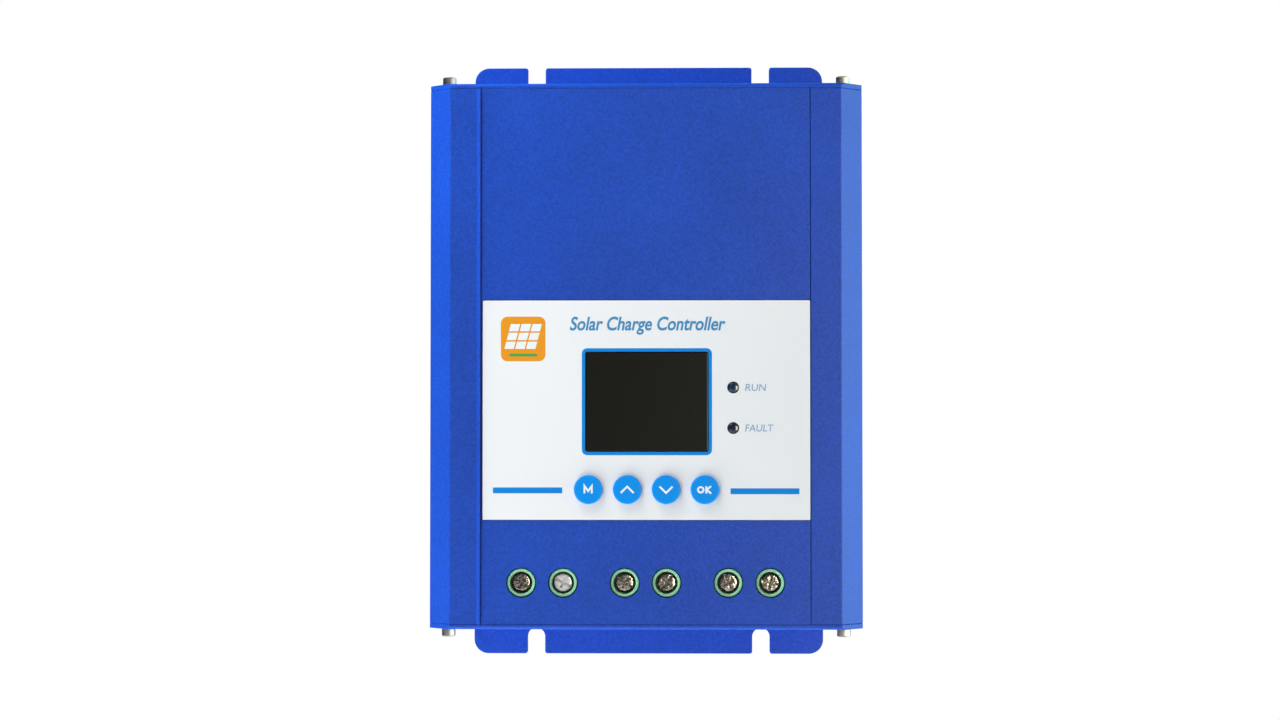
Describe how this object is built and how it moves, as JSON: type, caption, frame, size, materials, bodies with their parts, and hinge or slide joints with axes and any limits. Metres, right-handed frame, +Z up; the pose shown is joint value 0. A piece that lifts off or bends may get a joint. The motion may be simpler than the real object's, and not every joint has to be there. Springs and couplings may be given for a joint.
{
  "type": "solar charge controller",
  "caption": "Wall-mounted solar charge controller: blue extruded case with slotted wall flanges, white label with display and push keys, and recessed screw terminals.",
  "frame": {"origin": "centre of the back plate's rear face, which rests on the wall", "axes": "+Z up the wall, +Y into the wall, +X to the right of someone facing the front; the front faces -Y"},
  "size_m": [0.172, 0.0676, 0.246],
  "materials": {
    "blue_coating": "fine textured powder coating, satin",
    "grey_steel": "plain steel, satin",
    "white_film": "printed film, satin",
    "black_window": "gloss",
    "black_plastic": "matte",
    "board_green": "solder mask over glass laminate",
    "grey_ribbon": "matte",
    "smoked_lens": "gloss, dark tinted",
    "key_blue": "satin",
    "pale_green": "moulded, satin",
    "nickel": "nickel plated, satin",
    "brass_cage": "turned and bent brass",
    "tinned_copper": "tinned",
    "can_sleeve": "shrink sleeve",
    "enamelled_copper": "enamelled copper wire",
    "bare_aluminium": "as extruded"
  },
  "bodies": {
    "case": {"back_plate": "blue_coating", "left_rail": "blue_coating", "right_rail": "blue_coating", "front_panel": "blue_coating", "top_end_plate": "blue_coating", "bottom_end_plate": "blue_coating", "top_screw_left_front": "grey_steel", "top_screw_left_rear": "grey_steel", "top_screw_right_front": "grey_steel", "top_screw_right_rear": "grey_steel", "bottom_screw_left_front": "grey_steel", "bottom_screw_left_rear": "grey_steel", "bottom_screw_right_front": "grey_steel", "bottom_screw_right_rear": "grey_steel", "front_label": "white_film", "display_lens": "black_window", "display_module": "black_plastic", "display_board": "board_green", "ribbon_cable": "grey_ribbon", "run_lamp": "smoked_lens", "fault_lamp": "smoked_lens", "menu_switch": "black_plastic", "up_switch": "black_plastic", "down_switch": "black_plastic", "ok_switch": "black_plastic", "solar_terminal_block": "pale_green", "solar_left_contact": "tinned_copper", "solar_right_contact": "tinned_copper", "battery_terminal_block": "pale_green", "battery_left_contact": "tinned_copper", "battery_right_contact": "tinned_copper", "load_terminal_block": "pale_green", "load_left_contact": "tinned_copper", "load_right_contact": "tinned_copper", "main_board": "board_green", "board_spacer_1": "brass_cage", "board_spacer_2": "brass_cage", "board_spacer_3": "brass_cage", "board_spacer_4": "brass_cage", "capacitor_1": "can_sleeve", "capacitor_2": "can_sleeve", "inductor": "enamelled_copper", "heat_spreader": "bare_aluminium"},
    "menu_key": {"menu_key": "key_blue"},
    "up_key": {"up_key": "key_blue"},
    "down_key": {"down_key": "key_blue"},
    "ok_key": {"ok_key": "key_blue"},
    "solar_left_screw": {"solar_left_screw": "nickel"},
    "solar_left_cage": {"solar_left_cage": "brass_cage"},
    "solar_right_screw": {"solar_right_screw": "nickel"},
    "solar_right_cage": {"solar_right_cage": "brass_cage"},
    "battery_left_screw": {"battery_left_screw": "nickel"},
    "battery_left_cage": {"battery_left_cage": "brass_cage"},
    "battery_right_screw": {"battery_right_screw": "nickel"},
    "battery_right_cage": {"battery_right_cage": "brass_cage"},
    "load_left_screw": {"load_left_screw": "nickel"},
    "load_left_cage": {"load_left_cage": "brass_cage"},
    "load_right_screw": {"load_right_screw": "nickel"},
    "load_right_cage": {"load_right_cage": "brass_cage"}
  },
  "joints": [
    {"name": "menu_press", "type": "slide", "parent": "case", "child": "menu_key", "axis": [0, 1, 0], "range_m": [0, 0.0004], "stiffness_N_per_m": 3000},
    {"name": "up_press", "type": "slide", "parent": "case", "child": "up_key", "axis": [0, 1, 0], "range_m": [0, 0.0004], "stiffness_N_per_m": 3000},
    {"name": "down_press", "type": "slide", "parent": "case", "child": "down_key", "axis": [0, 1, 0], "range_m": [0, 0.0004], "stiffness_N_per_m": 3000},
    {"name": "ok_press", "type": "slide", "parent": "case", "child": "ok_key", "axis": [0, 1, 0], "range_m": [0, 0.0004], "stiffness_N_per_m": 3000},
    {"name": "solar_left_rise", "type": "slide", "parent": "case", "child": "solar_left_cage", "axis": [0, -1, 0], "range_m": [0, 0.0052]},
    {"name": "solar_left_turn", "type": "hinge", "parent": "case", "child": "solar_left_screw", "pos_m": [-0.0491, -0.0627, -0.0896], "axis": [0, 1, 0], "range_deg": [0, 2341]},
    {"name": "solar_right_rise", "type": "slide", "parent": "case", "child": "solar_right_cage", "axis": [0, -1, 0], "range_m": [0, 0.0052]},
    {"name": "solar_right_turn", "type": "hinge", "parent": "case", "child": "solar_right_screw", "pos_m": [-0.0326, -0.0627, -0.0896], "axis": [0, 1, 0], "range_deg": [0, 2341]},
    {"name": "battery_left_rise", "type": "slide", "parent": "case", "child": "battery_left_cage", "axis": [0, -1, 0], "range_m": [0, 0.0052]},
    {"name": "battery_left_turn", "type": "hinge", "parent": "case", "child": "battery_left_screw", "pos_m": [-0.00825, -0.0627, -0.0896], "axis": [0, 1, 0], "range_deg": [0, 2341]},
    {"name": "battery_right_rise", "type": "slide", "parent": "case", "child": "battery_right_cage", "axis": [0, -1, 0], "range_m": [0, 0.0052]},
    {"name": "battery_right_turn", "type": "hinge", "parent": "case", "child": "battery_right_screw", "pos_m": [0.00825, -0.0627, -0.0896], "axis": [0, 1, 0], "range_deg": [0, 2341]},
    {"name": "load_left_rise", "type": "slide", "parent": "case", "child": "load_left_cage", "axis": [0, -1, 0], "range_m": [0, 0.0052]},
    {"name": "load_left_turn", "type": "hinge", "parent": "case", "child": "load_left_screw", "pos_m": [0.0326, -0.0627, -0.0896], "axis": [0, 1, 0], "range_deg": [0, 2341]},
    {"name": "load_right_rise", "type": "slide", "parent": "case", "child": "load_right_cage", "axis": [0, -1, 0], "range_m": [0, 0.0052]},
    {"name": "load_right_turn", "type": "hinge", "parent": "case", "child": "load_right_screw", "pos_m": [0.0491, -0.0627, -0.0896], "axis": [0, 1, 0], "range_deg": [0, 2341]}
  ],
  "couplings": [
    {"joint": "solar_left_turn", "follows": "solar_left_rise", "rad_per_m": 7854},
    {"joint": "solar_right_turn", "follows": "solar_right_rise", "rad_per_m": 7854},
    {"joint": "battery_left_turn", "follows": "battery_left_rise", "rad_per_m": 7854},
    {"joint": "battery_right_turn", "follows": "battery_right_rise", "rad_per_m": 7854},
    {"joint": "load_left_turn", "follows": "load_left_rise", "rad_per_m": 7854},
    {"joint": "load_right_turn", "follows": "load_right_rise", "rad_per_m": 7854}
  ]
}
